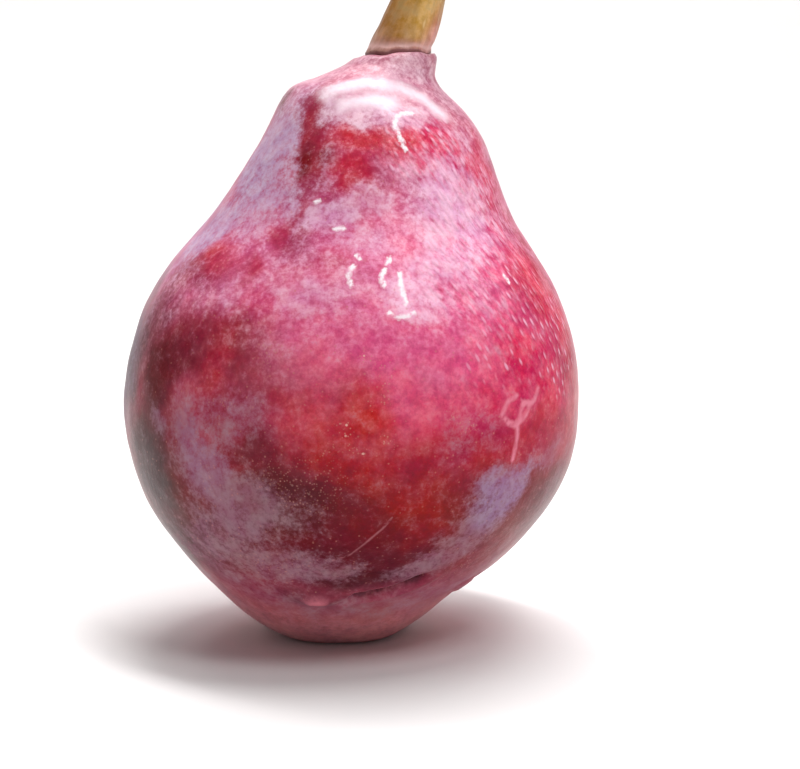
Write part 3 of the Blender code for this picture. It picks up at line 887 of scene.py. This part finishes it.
# %% Bark: the pale swelling and the dark line at the foot, and the dry wood of the scar
wavy_rise = add(tree, "Math", [blotches, 1.4, rise_field], **TIMES_PLUS)
starts = add(tree, "MapRange", [wavy_rise, 1.0, 1.5, 0.0, 0.5], **SMOOTH)
stops = add(tree, "MapRange", [wavy_rise, 1.5, 2.2, 1.0, 0.0], **SMOOTH)
swelling = add(tree, "Math", [starts, stops], **TIMES)
colour = add(tree, "Mix", {SHARE: swelling, BELOW: colour, ABOVE: linear("#ecc0bc")}, MIXED, **OVER)
seam = add(tree, "MapRange", [wavy_rise, 0.45, 0.95, 0.6, 0.0], **SMOOTH)
colour = add(tree, "Mix", {SHARE: seam, BELOW: colour, ABOVE: linear("#6a343a")}, MIXED, **OVER)
wood = add(tree, "Mix", {SHARE: specks, BELOW: linear("#4a3422"), ABOVE: linear("#9c8260")}, MIXED, **OVER)
colour = add(tree, "Mix", {SHARE: cut_field, BELOW: colour, ABOVE: wood}, MIXED, **OVER)
print("nodes up to the scar:", len(tree.nodes))

# %% The bark's shader, and its piece
relief = add(tree, "Bump", {"Strength": 0.6, "Distance": 0.12 * MM, "Height": fibre})
relief = add(tree, "Bump", {"Strength": 0.4, "Distance": 0.06 * MM, "Height": specks, "Normal": relief})
roughness = add(tree, "MapRange", [cut_field, 0.0, 1.0, 0.42, 0.9], **SMOOTH)
tree.links.new(colour, bark_shader.inputs["Base Color"])
tree.links.new(relief, bark_shader.inputs["Normal"])
tree.links.new(roughness, bark_shader.inputs["Roughness"])
bark_shader.inputs["Specular IOR Level"].default_value = 0.35
stem.data.materials.append(bark)
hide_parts("stem")
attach(stem, "root")
print("the stem's piece:", stem.name, "with", bark.name)

# %% [markdown]
# ## The dry flower
#
# Under the pear, in its basin, sit the five sepals of the flower with what is left of its threads. They are
# dead, dry tissue: dark brown with paler fibres, and quite matt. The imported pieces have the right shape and
# only need roughening. A subdivision gives them enough corners, and a displacement of a fifth of a
# millimetre withers them.

# %% Withered tissue
dry, tree, dry_shader = new_material("dry_calyx_tissue")
place = add(tree, "TexCoord", {}, "Object")
fibrous = add(tree, "TexNoise", {"Vector": place, "Scale": PER_MM / 0.6, "Detail": 4.0, "Roughness": 0.65})
blotchy = add(tree, "TexNoise", {"Vector": place, "Scale": PER_MM / 2.2, "Detail": 3.0})
share = add(tree, "MapRange", [fibrous, 0.3, 0.7, 0.0, 1.0], **SMOOTH)
colour = add(tree, "Mix", {SHARE: share, BELOW: linear("#2e1d12"), ABOVE: linear("#7a5636")}, MIXED, **OVER)
share = add(tree, "MapRange", [blotchy, 0.45, 0.65, 0.0, 0.6], **SMOOTH)
colour = add(tree, "Mix", {SHARE: share, BELOW: colour, ABOVE: linear("#5c3a34")}, MIXED, **OVER)
relief = add(tree, "Bump", {"Strength": 0.7, "Distance": 0.1 * MM, "Height": fibrous})
tree.links.new(colour, dry_shader.inputs["Base Color"])
tree.links.new(relief, dry_shader.inputs["Normal"])
dry_shader.inputs["Roughness"].default_value = 0.85
dry_shader.inputs["Specular IOR Level"].default_value = 0.25
print("nodes in the dry tissue's material:", len(tree.nodes))

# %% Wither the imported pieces
crumpling = bpy.data.textures.new("crumpling", "CLOUDS")
crumpling.noise_scale = 0.9 * MM
remains = [node for name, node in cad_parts.items() if name.startswith(("sepal", "stamen", "style"))]
for node in remains:
    node.data.materials.clear()
    node.data.materials.append(dry)
    rounding = node.modifiers.new("rounding", "SUBSURF")
    rounding.subdivision_type = "SIMPLE"
    rounding.levels = rounding.render_levels = 2
    withering = node.modifiers.new("withering", "DISPLACE")
    withering.texture = crumpling
    withering.strength = 0.22 * MM
    withering.mid_level = 0.6
print("dry pieces of the flower:", len(remains))

# %% [markdown]
# ## A paper sweep
#
# A studio stands small things on a roll of white paper that curves up behind them, so no horizon shows. The
# floor is one strip: flat in front, a quarter circle of half a metre behind, and then a wall. The paper is
# matt, and a little below full white, so that it lights the pear from underneath without washing out its
# colour.

# %% Floor
SWEEP_FRONT = -1.2
SWEEP_START = 0.9
SWEEP_RADIUS = 0.5
WALL_TOP = 2.4
HALF_WIDTH = 2.5
profile = [(SWEEP_FRONT, 0.0), (SWEEP_START, 0.0)]
for degrees in range(10, 91, 10):
    bend = math.radians(degrees)
    profile.append((SWEEP_START + SWEEP_RADIUS * math.sin(bend), SWEEP_RADIUS * (1 - math.cos(bend))))
profile.append((SWEEP_START + SWEEP_RADIUS, WALL_TOP))

paper_mesh = bmesh.new()
edges = [[paper_mesh.verts.new((x, y, z)) for y, z in profile] for x in (-HALF_WIDTH, HALF_WIDTH)]
for k in range(len(profile) - 1):
    paper_mesh.faces.new((edges[0][k], edges[1][k], edges[1][k + 1], edges[0][k + 1]))
paper_data = bpy.data.meshes.new("floor")
paper_mesh.to_mesh(paper_data)
paper_mesh.free()
paper_data.shade_smooth()
floor = bpy.data.objects.new("floor", paper_data)
bpy.context.scene.collection.objects.link(floor)
print("the sweep's width, in m:", 2 * HALF_WIDTH)

# %% Paper: loose fibres give no gloss, and the pulp has clouds of about 25 mm that hardly show
paper, tree, paper_shader = new_material("matt_paper")
place = add(tree, "TexCoord", {}, "Object")
pulp = add(tree, "TexNoise", {"Vector": place, "Scale": PER_MM / 25.0, "Detail": 2.0})
colour = add(tree, "Mix", {SHARE: pulp, BELOW: linear("#ece9e8"), ABOVE: linear("#f0eeee")}, MIXED, **OVER)
tree.links.new(colour, paper_shader.inputs["Base Color"])
paper_shader.inputs["Roughness"].default_value = 0.9
floor.data.materials.append(paper)
floor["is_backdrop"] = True
print("the floor's material:", paper.name)

# %% [markdown]
# ## Light
#
# Fruit skin shows its depth in broad, soft light. A long lamp overhead brightens the shoulder and lets the
# belly fall darker. A square key lamp, high on the front right, lights the sunny side. A third lamp only
# lights the paper behind. A dim white world fills the shadows, as the walls of a pale room would.

# %% Lights
scene = bpy.context.scene
scene.view_settings.view_transform = "Standard"
world = bpy.data.worlds.new("soft_room")
scene.world = world
world.use_nodes = True
world.node_tree.nodes["Background"].inputs["Color"].default_value = (1.0, 1.0, 1.0, 1.0)
world.node_tree.nodes["Background"].inputs["Strength"].default_value = 0.18


def soft_light(name, place, aim, width, depth, power):
    """A rectangular lamp, in metres and watts, turned to face a point."""
    lamp = bpy.data.lights.new(name, "AREA")
    lamp.shape = "RECTANGLE"
    lamp.size, lamp.size_y = width, depth
    lamp.energy = power
    made = bpy.data.objects.new(name, lamp)
    made.location = place
    made.rotation_euler = (Vector(aim) - Vector(place)).to_track_quat("-Z", "Y").to_euler()
    scene.collection.objects.link(made)
    return made


PEAR_MIDDLE = (0.0, 0.0, 0.05)
lamps = [
    soft_light("overhead", (0.05, 0.05, 0.75), PEAR_MIDDLE, 0.6, 0.12, 4.6),
    soft_light("key", (0.32, -0.42, 0.80), PEAR_MIDDLE, 0.30, 0.30, 2.7),
    soft_light("backdrop", (0.0, 0.75, 1.5), (0.0, 1.2, 0.2), 1.6, 0.5, 20.0),
]
print("lamps, in watts:", {lamp.name: round(lamp.data.energy, 1) for lamp in lamps})

# %% [markdown]
# ## Camera
#
# The pear is seen from close by, a third of a metre away and a little above its middle, so its neck leans
# slightly away and the collar shows. The stem's tip is left out of the picture, above its top edge.

# %% Camera
LENS = 92.1
SENSOR = 36.0
DISTANCE = 0.327
ELEVATION = math.radians(8)
AIM = Vector((7.5, 0.0, 40.2)) * MM
camera_data = bpy.data.cameras.new("camera")
camera_data.lens = LENS
camera_data.sensor_width = SENSOR
camera_data.clip_start = 0.01
camera = bpy.data.objects.new("camera", camera_data)
camera.location = AIM + DISTANCE * Vector((0, -math.cos(ELEVATION), math.sin(ELEVATION)))
camera.rotation_euler = (AIM - camera.location).to_track_quat("-Z", "Y").to_euler()
scene.collection.objects.link(camera)
scene.camera = camera
print("the view's width at the pear, in mm:", round(DISTANCE * SENSOR / LENS / MM))

# %% [markdown]
# ## Sizes
#
# The finished pear must fill the imported model's box and stay inside it. Its size is printed, in
# millimetres.

# %% Sizes, and the end
low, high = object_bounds()
print("the finished pear, in mm:", [round((b - a) / MM, 1) for a, b in zip(low, high)])
